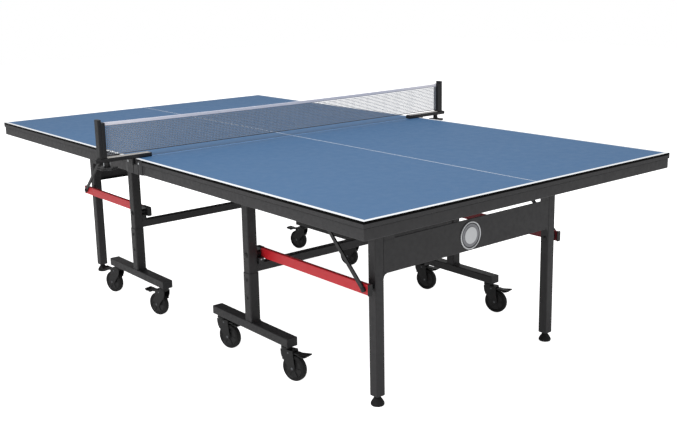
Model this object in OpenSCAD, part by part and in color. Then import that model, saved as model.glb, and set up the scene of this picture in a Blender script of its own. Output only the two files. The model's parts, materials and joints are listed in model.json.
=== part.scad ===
// Roll-away table tennis table: two wheeled halves that meet under the net.
// Origin: on the floor under the middle of the net. X runs along the table, Y across it, Z up.
// Each half is drawn once on the +X side and mirrored for the other half.

/* [Playing surface] */
// Length of both halves together
table_l = 2740; // [2600:10:2900]
// Width of the playing surface
table_w = 1525; // [1400:5:1650]
// Height of the playing surface above the floor
table_h = 760; // [720:5:800]
// Thickness of each board
board_t = 22; // [16:1:30]
// Gap between the two boards under the net
centre_gap = 6; // [5:1:12]

/* [Apron frame] */
// Height of the steel apron tubes
apron_h = 38; // [30:1:50]
// Thickness of the apron tubes, measured across
apron_t = 25; // [20:1:40]
// How far the apron stands back from the board's edge
apron_inset = 4; // [0:1:12]
// Length of each corner guard beside the net
guard_l = 62; // [56:1:90]
// Distance from the net line to the stiffener under each board
stiffener_x = 750; // [650:5:850]
// Wall of every steel tube
tube_wall = 2; // [1.5:0.5:4]

/* [Roller frame] */
// Distance from the net line to the roller posts
post_x = 452; // [440:1:500]
// Distance from the centre line to the roller posts
post_y = 541; // [541:1:580]
// Width of the square roller posts
post_w = 40; // [36:1:44]
// Thickness added all round by the sleeve at the foot of each post
sleeve_t = 2; // [1.5:0.5:4]
// Length of each foot bar
foot_bar_l = 500; // [460:5:560]
// Width of each foot bar
foot_bar_w = 46; // [42:1:52]
// Height of each foot bar's section
foot_bar_h = 34; // [32:1:44]
// Height of the cross tube's section
cross_tube_h = 34; // [30:1:42]
// Thickness of the cross tube's section
cross_tube_w = 30; // [20:1:36]

/* [End legs] */
// Distance from the net line to the end legs
leg_x = 1054; // [1030:2:1120]
// Distance from the centre line to the end legs
leg_y = 444; // [436:1:448]
// Width of the square end legs
leg_w = 38; // [34:1:40]
// Height of the levelling foot below the leg
foot_h = 36; // [30:1:50]
// Diameter of the levelling foot's pad
foot_d = 48; // [40:1:60]
// Height of the end panel
panel_h = 121; // [80:1:160]
// Height of the end panel's lower edge above the floor
panel_z = 465; // [455:5:490]
// Depth of the end panel's folded flanges
panel_d = 22; // [12:1:26]
// Diameter of the round plate on the end panel
medallion_d = 103; // [60:1:108]
// Distance from the panel's middle down to the round plate's centre
medallion_drop = 4; // [0:1:6]

/* [Folding links] */
// Height of the link bar's pivots above the floor
link_z = 425; // [420:1:436]
// Height of the link bar's section
bar_h = 38; // [30:1:40]
// Thickness of the link bar's section
bar_t = 16; // [12:1:18]
// Distance from the centre line to the middle of the link bar
bar_y = 488; // [487:0.5:490]
// Offset of the board hinges from the posts and legs, towards the net
hinge_offset = 44; // [44:1:50]
// Depth of the board hinges below the board
hinge_drop = 22; // [20:1:24]
// Diameter of the hinge pins
pin_d = 10; // [8:1:12]
// Diameter of the link bar's pivot bolts
bolt_d = 12; // [10:1:14]
// Horizontal reach of the diagonal brace
brace_reach = 301; // [280:1:330]
// Width of the flat brace
brace_w = 14; // [12:1:18]
// Thickness of the flat brace
brace_t = 6; // [4:0.5:7]

/* [Casters] */
// Diameter of each wheel
wheel_d = 100; // [90:1:104]
// Width of each wheel's tread
wheel_w = 26; // [20:1:30]
// Height from the floor to the foot bar
caster_h = 132; // [130:1:150]
// Distance that the wheel trails behind its stem
caster_trail = 35; // [30:1:38]
// Distance from the foot bar's end to the caster's stem
stem_inset = 35; // [30:1:50]
// Diameter of the caster's stem
stem_d = 12; // [10:1:14]
// Length of the brake pedal from its pivot
pedal_l = 84; // [70:1:90]
// Angle by which every caster has swivelled out of line with its foot bar
caster_turn = 15; // [0:1:30]

/* [Net] */
// Height of the net above the playing surface
net_h = 152.5; // [140:0.5:160]
// Distance from the board's edge out to the middle of the net posts
net_overhang = 130.5; // [120:0.5:145]
// Width of the net posts
net_post_w = 30; // [24:1:36]
// Thickness of the net's cloth
net_t = 3; // [2:0.5:4]
// Reach of the clamp arm over the board
clamp_reach = 72; // [50:1:90]
// Thickness of the clamp arm
clamp_t = 16; // [12:1:20]
// Height of the net's lower edge above the board
net_lift = 24; // [20:1:30]
// Height by which the outside of each net post stands above the net
post_step = 12; // [6:1:20]
// Diameter of the clamp's star knob
knob_d = 80; // [50:1:84]
// Height of the star knob
knob_h = 10; // [8:1:14]
// Distance from the middle of the net post in to the clamp's screw
screw_inset = 18; // [10:1:24]
// Width of the clamp's jaw along the table
jaw_w = 34; // [26:1:44]
// Reach of the jaw under the board
jaw_reach = 62; // [50:1:70]

/* [Hidden] */
$fn = 48;
RUNNING = 0.1;      // radial clearance round a pin that turns
GAP = 0.5;          // side clearance between parts that move past each other
SEAT = 0.1;         // clearance between fixed parts that sit side by side
PLATE = 4;          // thickness of the hinge plates and ears
EYE_R = 12;         // radius of the hinge plates' eyes
HEAD_T = 2;         // thickness of a pin's head
HEAD_R = 8;         // radius of a pin's head
CAP_T = 3;          // thickness of a tube's plastic cap
CUT = 1;            // how far a cutting shape runs past the face that it cuts
CHEEK_T = 3;        // thickness of the caster's cheeks
WELD_LAP = 0.4;     // overlap that joins two shapes into one solid

board_under = table_h - board_t;
apron_z = board_under - apron_h;
edge_y = table_w / 2;
rail_y = edge_y - apron_inset - apron_t / 2;
end_x = table_l / 2;
net_x = centre_gap / 2;

hinge_z = board_under - hinge_drop;
tilt_x = post_x - hinge_offset;
leg_hinge_x = leg_x - hinge_offset;

fitting_wall = 1.5; // wall of the link bar's end fittings
fitting_in = 35;    // reach of the inner fitting past the pivot, towards the leg
fitting_out = 22;   // reach of the outer fitting to each side of its pivot
stub = 26.5;        // reach of the inner fitting past the pivot, towards the net
stub_r = norm([stub, bar_h / 2 + fitting_wall]); // radius that the stub sweeps as the bar swings
foot_bar_top = caster_h + foot_bar_h;
cross_tube_top = link_z - stub_r - 2 * GAP;
sleeve_top = cross_tube_top - cross_tube_h - SEAT;
sleeve_w = post_w + 2 * sleeve_t;
sleeve_bolts = [28, 98]; // how far the sleeve's two bolts lie below its top
foot_stem_r = 6;    // radius of the levelling foot's stem
ear_w = 49;         // width of the end panel's ears

brace_y = bar_y + bar_t / 2 + fitting_wall + GAP + brace_t / 2;
brace_rise = hinge_z - link_z;
brace_l = sqrt(brace_reach * brace_reach + brace_rise * brace_rise);
brace_angle = atan2(brace_rise, brace_reach);
roller_r = 7;
channel_w = 23;     // width of the brace's guide channel
channel_t = 3;      // wall of the guide channel
channel_drop = 30;  // depth of the guide channel below the board
channel_y = brace_y;
channel_x0 = tilt_x + leg_x - post_x - brace_l - brace_rise - 20; // inner end, past the folded roller
channel_x1 = leg_x - brace_reach + 40;                            // outer end, past the roller at rest

stem_x = [post_x - foot_bar_l / 2 + stem_inset, post_x + foot_bar_l / 2 - stem_inset];
wheel_r = wheel_d / 2;
cheek_in = wheel_w / 2 + 1.5;
cheek_out = cheek_in + CHEEK_T;
pedal_boss = 5;     // radius of the brake pedal's eye
pedal_x = caster_trail - 17;
pedal_z = wheel_d + 8;
crown_z = pedal_z + pedal_boss + GAP; // underside of the caster's crown

net_top = table_h + net_h;
net_post_y = edge_y + net_overhang;
arm_z = table_h + GAP;
arm_out = net_post_y + net_post_w / 2 + 17;
web_in = edge_y + SEAT + PLATE + 2;   // inner face of the web under the clamp's arm
web_h = 24;                           // height of the web below the board's surface
jaw_in = edge_y - jaw_reach;
jaw_z = board_under - 16;
pad_y = edge_y - 40;                  // middle of the jaw's raised pad
pad_r = 12;
screw_y = net_post_y - screw_inset;
screw_r = 5;
boss_r = 12;
knob_z = table_h - 28;                // underside of the clamp's knob

HALVES = [["near", 1], ["far", -1]];
HALF_PARTS = [
    "tabletop", "aprons", "top_brackets", "roller_posts", "foot_bars", "cross_tube", "caps_and_bolts",
    "end_legs", "end_panel", "medallion", "link_bars", "bar_fittings", "lock_braces"
];
SIDES = [["left", -1], ["right", 1]];
ENDS = [["inner", 0], ["outer", 1]];
// Each corner is [name, half, side]; each caster is [name, half, side, which end of the foot bar].
CORNERS = [for (h = HALVES) for (s = SIDES) [str(h[0], "_", s[0]), h[1], s[1]]];
CASTERS = [for (c = CORNERS) for (e = ENDS) [str(c[0], "_", e[0]), c[1], c[2], e[1]]];
NET_PARTS = ["net", "net_posts", "net_clamp_arms", "net_clamp_jaws", "clamp_knob_left", "clamp_knob_right"];

// ---- Helpers ----

// Places what is drawn on the +X side on the half h.
module on_half(h) {
    if (h > 0) children();
    else mirror([1, 0, 0]) children();
}

// Places what is drawn on the +Y side on the side s.
module on_side(s) {
    if (s > 0) children();
    else mirror([0, 1, 0]) children();
}

// Draws on both sides of the table.
module both_sides() {
    children();
    mirror([0, 1, 0]) children();
}

// A block between two corners.
module block(low, high) {
    translate(low) cube(high - low);
}

// A hollow square tube between two corners, open along the axis: 0 for X, 1 for Y, 2 for Z.
module tube(low, high, axis, wall = tube_wall) {
    inset = [for (i = [0:2]) i == axis ? -1 : wall];
    difference() {
        block(low, high);
        block(low + inset, high - inset);
    }
}

// A round bar along Y, from y0 to y1, centred on x and z.
module pin_y(x, z, r, y0, y1) {
    translate([x, y1, z]) rotate([90, 0, 0]) cylinder(r = r, h = y1 - y0);
}

// A flat plate in the XZ plane, from y0 to y1, drawn as X and Z.
module plate_y(y0, y1) {
    translate([0, y1, 0]) rotate([90, 0, 0]) linear_extrude(y1 - y0) children();
}

// A straight link with round ends, from a to b, in the plane.
module link_2d(a, b, ra, rb) {
    d = b - a;
    turn = atan2(d[1], d[0]);
    lean = acos((ra - rb) / norm(d));
    translate(a) circle(ra);
    translate(b) circle(rb);
    polygon([
        a + ra * [cos(turn + lean), sin(turn + lean)],
        b + rb * [cos(turn + lean), sin(turn + lean)],
        b + rb * [cos(turn - lean), sin(turn - lean)],
        a + ra * [cos(turn - lean), sin(turn - lean)]
    ]);
}

// ---- Board and apron ----

module tabletop() {
    color("steelblue") block([net_x, -edge_y, board_under], [end_x, edge_y, table_h]);
}

// Steel rails under the board's four edges, a stiffener, and guards at the corners beside the net.
module aprons(h) {
    rail_in = rail_y - apron_t / 2;
    rail_out = rail_y + apron_t / 2;
    end_in = end_x - apron_inset - apron_t;
    guard_in = h > 0 ? net_x + jaw_w + 2 * GAP : net_x + GAP;
    guard_out = net_x + guard_l;
    guard_y = edge_y + SEAT;
    color("dimgray") {
        both_sides()
            tube([guard_l + net_x, rail_in, apron_z], [end_x - apron_inset, rail_out, board_under], 0);
        tube([end_in, -rail_in, apron_z], [end_x - apron_inset, rail_in, board_under], 1);
        tube([net_x + apron_inset, -jaw_in, apron_z], [net_x + apron_inset + apron_t, jaw_in, board_under], 1);
        tube([stiffener_x, -leg_y, board_under - apron_t], [stiffener_x + apron_t, leg_y, board_under], 1);
        both_sides() {
            block([guard_in, guard_y, apron_z], [guard_out, guard_y + channel_t, table_h - 3]);
            block([net_x + jaw_w + 2 * GAP, rail_in, apron_z], [guard_out, guard_y, apron_z + channel_t]);
        }
    }
}

// The U-shaped hinge bracket under the board, with its pin. It straddles plates at y0 to y1.
module hinge_bracket(x, y0, y1) {
    ear = PLATE;
    for (y = [y0 - GAP - ear, y1 + GAP])
        plate_y(y, y + ear) {
            translate([x, hinge_z]) circle(EYE_R);
            translate([x - EYE_R, hinge_z]) square([2 * EYE_R, hinge_drop]);
        }
    block([x - 30, y0 - GAP - ear, board_under - 3], [x + 30, y1 + GAP + ear, board_under]);
    pin_y(x, hinge_z, pin_d / 2, y0 - GAP - ear - HEAD_T, y1 + GAP + ear + HEAD_T);
    for (y = [y0 - GAP - ear - HEAD_T, y1 + GAP + ear])
        pin_y(x, hinge_z, HEAD_R, y, y + HEAD_T);
}

// Hinge brackets for the roller posts and the end legs, and the two guide channels of the braces.
module top_brackets() {
    color("gray") both_sides() {
        hinge_bracket(tilt_x, post_y - post_w / 2 - SEAT - PLATE, post_y + post_w / 2 + SEAT + PLATE);
        hinge_bracket(leg_hinge_x, leg_y - leg_w / 2 - SEAT - PLATE, leg_y + leg_w / 2 + SEAT + PLATE);
        difference() {
            block([channel_x0, channel_y - channel_w / 2, board_under - channel_drop],
                [channel_x1, channel_y + channel_w / 2, board_under]);
            block([channel_x0 - 1, channel_y - channel_w / 2 + channel_t, board_under - channel_drop - 1],
                [channel_x1 + 1, channel_y + channel_w / 2 - channel_t, board_under - channel_t]);
        }
    }
}

// ---- Roller frame ----

// Post tube with a sleeve at its foot, bored for the link bar's bolt.
module roller_post() {
    difference() {
        union() {
            tube([post_x - post_w / 2, post_y - post_w / 2, foot_bar_top],
                [post_x + post_w / 2, post_y + post_w / 2, apron_z - CAP_T], 2);
            tube([post_x - sleeve_w / 2, post_y - sleeve_w / 2, foot_bar_top],
                [post_x + sleeve_w / 2, post_y + sleeve_w / 2, sleeve_top], 2, sleeve_t + 0.5);
        }
        pin_y(post_x, link_z, bolt_d / 2 + RUNNING, post_y - post_w, post_y + post_w);
    }
}

// Flat plate that carries a hinge pin beside a post or leg of width w whose middle is at x.
module hinge_plate(x, hinge_x, w, y) {
    tail_z = apron_z - 46;
    tail_in = x - w / 2 + 4;
    tail_out = x + w / 2 - 6;
    difference() {
        plate_y(y, y + PLATE) {
            translate([hinge_x, hinge_z]) circle(EYE_R);
            polygon([
                [hinge_x, hinge_z + EYE_R], [tail_out, hinge_z - PLATE], [tail_out, tail_z],
                [tail_in, tail_z], [hinge_x - 3, hinge_z - EYE_R + WELD_LAP]
            ]);
        }
        pin_y(hinge_x, hinge_z, pin_d / 2 + RUNNING, y - CUT, y + PLATE + CUT);
    }
}

// A pair of hinge plates on the two sides of a tube of width w.
module hinge_plates(x, y, w, hinge_x) {
    hinge_plate(x, hinge_x, w, y + w / 2 + SEAT);
    hinge_plate(x, hinge_x, w, y - w / 2 - SEAT - PLATE);
}

module roller_posts() {
    color("dimgray") both_sides() {
        roller_post();
        hinge_plates(post_x, post_y, post_w, tilt_x);
    }
}

module foot_bars() {
    color("dimgray") both_sides() difference() {
        tube([post_x - foot_bar_l / 2 + CAP_T, post_y - foot_bar_w / 2, caster_h],
            [post_x + foot_bar_l / 2 - CAP_T, post_y + foot_bar_w / 2, foot_bar_top], 0);
        for (x = stem_x)
            translate([x, post_y, caster_h - 1]) cylinder(d = stem_d + 2 * RUNNING, h = 2 * tube_wall + 1);
    }
}

module cross_tube() {
    color("dimgray") tube(
        [post_x - cross_tube_w / 2, -post_y + post_w / 2, cross_tube_top - cross_tube_h],
        [post_x + cross_tube_w / 2, post_y - post_w / 2, cross_tube_top], 1);
}

// Plastic end caps of the foot bars and posts, and the sleeve's bolts.
module caps_and_bolts() {
    color("black") both_sides() {
        for (end = [-1, 1])
            translate([post_x + end * (foot_bar_l / 2 - CAP_T / 2), post_y, caster_h + foot_bar_h / 2])
                cube([CAP_T, foot_bar_w, foot_bar_h], center = true);
        translate([post_x, post_y, apron_z - CAP_T / 2]) cube([post_w, post_w, CAP_T], center = true);
        for (drop = sleeve_bolts)
            pin_y(post_x, sleeve_top - drop, 7, post_y + sleeve_w / 2, post_y + sleeve_w / 2 + 4);
    }
}

// ---- End legs ----

// Leg tubes with a plug at the foot, threaded for the levelling foot, and hinge plates at the top.
module end_legs() {
    color("dimgray") both_sides() {
        difference() {
            union() {
                tube([leg_x - leg_w / 2, leg_y - leg_w / 2, foot_h],
                    [leg_x + leg_w / 2, leg_y + leg_w / 2, apron_z], 2);
                block([leg_x - leg_w / 2 + 1, leg_y - leg_w / 2 + 1, foot_h],
                    [leg_x + leg_w / 2 - 1, leg_y + leg_w / 2 - 1, foot_h + 18]);
            }
            translate([leg_x, leg_y, foot_h - 1]) cylinder(r = foot_stem_r + RUNNING, h = 20);
            pin_y(leg_x, link_z, bolt_d / 2 + RUNNING, leg_y - leg_w, leg_y + leg_w);
        }
        hinge_plates(leg_x, leg_y, leg_w, leg_hinge_x);
    }
}

// Folded steel panel between the end legs: a front sheet with a flange along its top and bottom,
// and an ear at each end that reaches up beside the leg.
module end_panel() {
    front = leg_x + leg_w / 2 - 1;
    half_w = leg_y - leg_w / 2;
    panel_top = panel_z + panel_h;
    color("dimgray") {
        difference() {
            block([front - panel_d, -half_w, panel_z], [front, half_w, panel_top]);
            block([front - panel_d - 1, -half_w - 1, panel_z + 2], [front - 2, half_w + 1, panel_top - 2]);
        }
        both_sides()
            block([front - 2, half_w - ear_w, panel_top - 2], [front, half_w, apron_z - 2]);
    }
}

// Round plate on the end panel, with a raised rim and a raised centre.
module medallion() {
    r = medallion_d / 2;
    color("silver") translate([leg_x + leg_w / 2 - 1, 0, panel_z + panel_h / 2 - medallion_drop])
        rotate([0, 90, 0])
        rotate_extrude($fn = 96) polygon([
            [0, 0], [r, 0], [r, 3], [r - 5, 3], [r - 6, 2], [r * 0.6, 2], [r * 0.6 - 1, 3], [0, 3]
        ]);
}

// Bell-shaped foot on a threaded stem.
module levelling_foot(c) {
    r = foot_d / 2;
    color("black") on_half(c[1]) on_side(c[2]) translate([leg_x, leg_y, 0]) {
        rotate_extrude() polygon([
            [0, 0], [r - 3, 0], [r, 3], [r, 9], [r - 4, 14], [r * 0.55, 22], [r * 0.45, foot_h - 2],
            [r * 0.45, foot_h - 0.3], [0, foot_h - 0.3]
        ]);
        translate([0, 0, foot_h - 2]) cylinder(r = foot_stem_r, h = 36);
    }
}

// ---- Folding links ----

module link_bars() {
    color("crimson") both_sides() difference() {
        tube([post_x - stub + 8, bar_y - bar_t / 2, link_z - bar_h / 2],
            [leg_x + fitting_out - 6, bar_y + bar_t / 2, link_z + bar_h / 2], 0);
        for (x = [post_x, leg_x])
            pin_y(x, link_z, bolt_d / 2 + SEAT / 2, bar_y - bar_t, bar_y + bar_t);
    }
}

// A closed cap over the bar's end, from x0 to x1, open towards the bar's middle.
module bar_cap(x0, x1, inner_x0, inner_x1) {
    y0 = bar_y - bar_t / 2 - fitting_wall;
    y1 = bar_y + bar_t / 2 + fitting_wall;
    z0 = link_z - bar_h / 2 - fitting_wall;
    z1 = link_z + bar_h / 2 + fitting_wall;
    difference() {
        block([x0, y0, z0], [x1, y1, z1]);
        block([inner_x0, bar_y - bar_t / 2 - SEAT / 2, link_z - bar_h / 2 - SEAT / 2],
            [inner_x1, bar_y + bar_t / 2 + SEAT / 2, link_z + bar_h / 2 + SEAT / 2]);
    }
}

// Black end caps of the link bars with their pivot bolts and spacers.
module bar_fittings() {
    y0 = bar_y - bar_t / 2 - fitting_wall;
    y1 = bar_y + bar_t / 2 + fitting_wall;
    post_in = post_y - post_w / 2;
    post_out = post_y + post_w / 2;
    leg_in = leg_y - leg_w / 2;
    leg_out = leg_y + leg_w / 2;
    brace_out = brace_y + brace_t / 2;
    color("black") both_sides() {
        bar_cap(post_x - stub, post_x + fitting_in, post_x - stub + 8, post_x + fitting_in + 1);
        pin_y(post_x, link_z, bolt_d / 2, y0, post_out + GAP + 1);
        pin_y(post_x, link_z, 10, y1, post_in - GAP);
        pin_y(post_x, link_z, 11, post_out + GAP, post_out + GAP + 5);
        bar_cap(leg_x - fitting_out, leg_x + fitting_out, leg_x - fitting_out - 1, leg_x + fitting_out - 6);
        pin_y(leg_x, link_z, bolt_d / 2, leg_in - GAP - 1, brace_out + GAP + 1);
        pin_y(leg_x, link_z, 10, leg_out + GAP, y0);
        pin_y(leg_x, link_z, 10, leg_in - GAP - 4, leg_in - GAP);
        pin_y(leg_x, link_z, 10, brace_out + GAP, brace_out + GAP + 4);
    }
}

// Flat diagonal braces from the outer pivot up to the guide channel, with a roller at the top.
module lock_braces() {
    foot = [leg_x, link_z];
    head = foot + brace_l * [-cos(brace_angle), sin(brace_angle)];
    color("black") both_sides() {
        difference() {
            plate_y(brace_y - brace_t / 2, brace_y + brace_t / 2) {
                link_2d(foot, head, brace_w / 2, brace_w / 2 - 1);
                translate(foot) circle(bolt_d / 2 + 5);
            }
            pin_y(leg_x, link_z, bolt_d / 2 + RUNNING, brace_y - brace_t, brace_y + brace_t);
        }
        pin_y(head[0], head[1], roller_r, channel_y - channel_w / 2 + channel_t + GAP,
            channel_y + channel_w / 2 - channel_t - GAP);
    }
}

// ---- Casters, drawn on their stem's axis with the wheel trailing towards +X ----

// The wheels trail away from the net, and all have swivelled the same way.
module at_caster(c) {
    turn = caster_turn + (c[1] > 0 ? 0 : 180);
    translate([c[1] * stem_x[c[3]], c[2] * post_y, 0]) rotate([0, 0, turn]) children();
}

// Swivel head with two cheeks that hold the axle and the pedal's pivot.
module caster_fork(c) {
    crown_t = 5;
    head_r = foot_bar_w / 2 - 2;
    head_z = crown_z + crown_t - CUT;
    hood_x = caster_trail + 4;
    color("black") at_caster(c) {
        translate([0, 0, caster_h - CUT]) cylinder(d = stem_d, h = 26);
        translate([0, 0, head_z]) cylinder(r = head_r, h = caster_h - GAP - head_z);
        intersection() {
            block([-head_r, -cheek_out, crown_z], [hood_x, cheek_out, crown_z + crown_t]);
            union() {
                translate([0, 0, crown_z]) cylinder(r = head_r, h = crown_t);
                block([0, -cheek_out, crown_z], [hood_x, cheek_out, crown_z + crown_t]);
            }
        }
        for (y = [-cheek_out, cheek_in])
            plate_y(y, y + CHEEK_T) intersection() {
                union() {
                    link_2d([2, crown_z - 4], [caster_trail, wheel_r], 17, 12);
                    link_2d([caster_trail - 10, crown_z - 6], [caster_trail, wheel_r], 14, 12);
                }
                translate([-head_r, 0]) square([2 * head_r + caster_trail, crown_z + crown_t]);
            }
        pin_y(caster_trail, wheel_r, 5, -cheek_out - CHEEK_T, cheek_out + CHEEK_T);
        pin_y(pedal_x, pedal_z, 3, -cheek_out - CUT, cheek_out + CUT);
    }
}

module caster_wheel(c) {
    w = wheel_w / 2;
    color("black") at_caster(c) translate([caster_trail, 0, wheel_r]) rotate([90, 0, 0])
        rotate_extrude($fn = 72) polygon([
            [5 + RUNNING, -w], [15, -w], [16, -w + 4], [wheel_r - 14, -w + 4], [wheel_r - 12, -w + 1],
            [wheel_r - 5, -w + 1], [wheel_r - 1, -w + 5], [wheel_r, -w + 9], [wheel_r, w - 9],
            [wheel_r - 1, w - 5], [wheel_r - 5, w - 1], [wheel_r - 12, w - 1], [wheel_r - 14, w - 4],
            [16, w - 4], [15, w], [5 + RUNNING, w]
        ]);
}

// Brake pedal: a lever over the wheel, pivoted between the cheeks, with a wide tread at its tip.
module caster_pedal(c) {
    w = wheel_w / 2 + GAP;
    tip_x = pedal_x + pedal_l;
    over_x = pedal_x + 0.36 * pedal_l; // end of the stretch over the top of the wheel
    knee_x = pedal_x + 0.54 * pedal_l;
    dip_x = pedal_x + 0.71 * pedal_l;  // lowest point of the lever, past the wheel
    color("black") at_caster(c) difference() {
        union() {
            pin_y(pedal_x, pedal_z, pedal_boss, -w, w);
            plate_y(-w, w) polygon([
                [pedal_x, pedal_z - pedal_boss + WELD_LAP], [over_x, pedal_z - 2], [knee_x, pedal_z - 5],
                [dip_x, pedal_z - 12], [tip_x - 8, pedal_z - 6], [tip_x - 8, pedal_z - 2],
                [over_x, pedal_z + 3], [pedal_x, pedal_z + pedal_boss - WELD_LAP]
            ]);
            plate_y(-w - 5, w + 5) polygon([
                [knee_x, pedal_z - 4], [tip_x - 10, pedal_z - 6], [tip_x, pedal_z - 1],
                [tip_x, pedal_z + 1], [tip_x - 10, pedal_z - 2], [knee_x, pedal_z]
            ]);
        }
        pin_y(pedal_x, pedal_z, 3 + RUNNING, -w - 5 - CUT, w + 5 + CUT);
    }
}

// ---- Net ----

// Cloth panel between the posts, clear of the board.
module net() {
    y_end = net_post_y - net_post_w / 2;
    color("gainsboro") block([-net_t / 2, -y_end, table_h + net_lift], [net_t / 2, y_end, net_top]);
}

// Square posts: the inside holds the net, and the outside stands on the clamp arm and is taller.
module net_posts() {
    w = net_post_w / 2;
    color("black") both_sides() {
        block([-w, net_post_y - w, table_h + net_lift - 6], [w, net_post_y, net_top]);
        block([-w, net_post_y, arm_z + clamp_t], [w, net_post_y + w, net_top + post_step]);
    }
}

// Arms that reach over the board, each with a web outside the board's edge and a boss for the screw.
module net_clamp_arms() {
    w = net_post_w / 2;
    boss_z = knob_z + knob_h + GAP;
    color("black") both_sides() difference() {
        union() {
            block([-w, edge_y - clamp_reach, arm_z], [w, arm_out, arm_z + clamp_t]);
            block([-w, web_in, table_h - web_h], [w, web_in + 8, arm_z]);
            translate([0, screw_y, boss_z]) cylinder(r = boss_r, h = arm_z - boss_z);
        }
        translate([0, screw_y, knob_z]) cylinder(r = screw_r + RUNNING, h = arm_z - knob_z + clamp_t / 2 + GAP);
    }
}

// Angle brackets that grip the near board from below, each with a raised pad under the board.
module net_clamp_jaws() {
    x0 = net_x + GAP;
    web_out = edge_y + SEAT + PLATE;
    color("black") both_sides() {
        block([x0, edge_y + SEAT, apron_z], [x0 + jaw_w, web_out, table_h - 3]);
        block([x0, jaw_in + GAP, jaw_z], [x0 + jaw_w, web_out, jaw_z + PLATE]);
        translate([x0 + jaw_w / 2, pad_y, jaw_z + PLATE / 2])
            cylinder(r = pad_r, h = board_under - jaw_z - PLATE / 2 - SEAT);
    }
}

// Star knob under the arm, on a screw that runs up into the arm.
module clamp_knob(s) {
    r = knob_d / 2;
    lobes = 6;
    notch_r = 12;
    color("black") on_side(s) translate([0, screw_y, knob_z]) {
        difference() {
            cylinder(r = r, h = knob_h);
            for (i = [0:lobes - 1])
                rotate([0, 0, (i + 0.5) * 360 / lobes]) translate([r + 2, 0, -CUT])
                    cylinder(r = notch_r, h = knob_h + 2 * CUT);
        }
        translate([0, 0, knob_h / 2]) cylinder(r = screw_r, h = arm_z - knob_z - knob_h / 2 + clamp_t / 2);
    }
}

// ---- Output ----

for (h = HALVES) {
    n = str(h[0], "_");
    on_half(h[1]) tabletop();
    on_half(h[1]) aprons(h[1]);
    on_half(h[1]) top_brackets();
    on_half(h[1]) roller_posts();
    on_half(h[1]) foot_bars();
    on_half(h[1]) cross_tube();
    on_half(h[1]) caps_and_bolts();
    on_half(h[1]) end_legs();
    on_half(h[1]) end_panel();
    on_half(h[1]) medallion();
    on_half(h[1]) link_bars();
    on_half(h[1]) bar_fittings();
    on_half(h[1]) lock_braces();
}
for (c = CORNERS)
    levelling_foot(c);
for (c = CASTERS) {
    caster_fork(c);
    caster_wheel(c);
    caster_pedal(c);
}
net();
net_posts();
net_clamp_arms();
net_clamp_jaws();
clamp_knob(-1);  // clamp_knob_left
clamp_knob(1);  // clamp_knob_right
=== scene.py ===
"""Roll-away table tennis table: finer surfaces and finishes over the fixed frame.

Shapes are worked out in millimetres for the near half and the right side, and mirrored for the others.
piece() turns them to metres. Places come from the frame's boxes and pivots, sections from the sizes below.
"""
import json
import math

import bmesh
import bpy
import numpy as np
from mathutils import Matrix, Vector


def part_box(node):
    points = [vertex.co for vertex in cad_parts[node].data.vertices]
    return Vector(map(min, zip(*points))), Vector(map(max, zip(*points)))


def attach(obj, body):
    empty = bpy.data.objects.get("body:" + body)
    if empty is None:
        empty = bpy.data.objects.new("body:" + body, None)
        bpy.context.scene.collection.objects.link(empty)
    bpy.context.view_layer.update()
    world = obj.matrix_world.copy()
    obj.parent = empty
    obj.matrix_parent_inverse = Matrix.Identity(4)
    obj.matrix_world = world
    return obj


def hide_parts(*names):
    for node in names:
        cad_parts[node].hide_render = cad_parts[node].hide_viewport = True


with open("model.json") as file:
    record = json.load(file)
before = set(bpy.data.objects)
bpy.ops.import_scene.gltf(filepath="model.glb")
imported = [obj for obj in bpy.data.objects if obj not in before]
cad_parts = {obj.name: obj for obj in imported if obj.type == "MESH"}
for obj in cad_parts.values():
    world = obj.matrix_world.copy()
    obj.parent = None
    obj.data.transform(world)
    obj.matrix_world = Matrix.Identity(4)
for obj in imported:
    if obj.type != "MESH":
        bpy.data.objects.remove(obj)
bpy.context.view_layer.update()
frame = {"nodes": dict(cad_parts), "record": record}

MM = 0.001
HALVES = (("near", 1), ("far", -1))
SIDES = (("left", -1), ("right", 1))
ENDS = ("inner", "outer")
X, Y, Z = 0, 1, 2

# ---- Sizes in millimetres ----

APRON_INSET = 4
APRON_T = 25
APRON_ROUND = 3         # radius of the apron tube's edges
HAIR = 0.1              # gap between faces that all but touch
PLAY = 0.5              # gap between parts that turn on one another
GUARD_L = 62            # corner guard: its length along the board's side
GUARD_T = 3
GUARD_TAPER = 14        # length over which its outer face comes in
SLOPE_PAST = 10         # how far its slope runs on past its end
GUARD_RIVET = (22, 12)  # its rivet, from its end and from its top
STIFFENER_X = 750
POST_W = 40
SLEEVE_W = 44
LEG_W = 38
TUBE_ROUND = 4          # corner radius of the square tubes
FOOT_BAR_W = 46
CAP_T = 3
PLATE_T = 4             # hinge plates beside a post or a leg
PLATE_DROP = 46         # how far they reach down from its top
HINGE_EYE = 12
PANEL_WALL = 2
PANEL_H = 119           # height of the end panel's front, without its ears
FLANGE_FALL = 10        # fall of the end panel's top flange from front to back
EAR_W = 49              # width of the end panel's ears
FILLET = 14             # radius of the fillets under the end panel
LAP = 5                 # how far ears and fillets run into the panel
BAR_T = 16
FITTING_WALL = 1.5
FITTING_IN = {"near": 6, "far": 32}    # the inner fitting's reach past the pivot, towards the leg
MEDALLION_ASIDE = -10   # the round plate's place beside the middle of the end panel
PLUG_T = 4              # thickness of the plug in the link bar's outer end
SLEEVE_BOLTS = (28, 98)         # down from the sleeve's top
BRACKET_L = 32          # block on the cross tube under each link bar's pivot
BRACKET_OUT = 10        # how far it stands out past the post
BRACKET_TOP = 12        # its top, below the pivot
BRACKET_SCREW = (9, 19)         # its screw, inside the post and below the pivot
BRACE_W = 14
BRACE_T = 6
ROLLER_R = 7            # roller at the brace's upper end
ROLLER_L = 16
WHEEL_R = 50
WHEEL_W = 26
CHEEK_IN = WHEEL_W / 2 + 1.5
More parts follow.
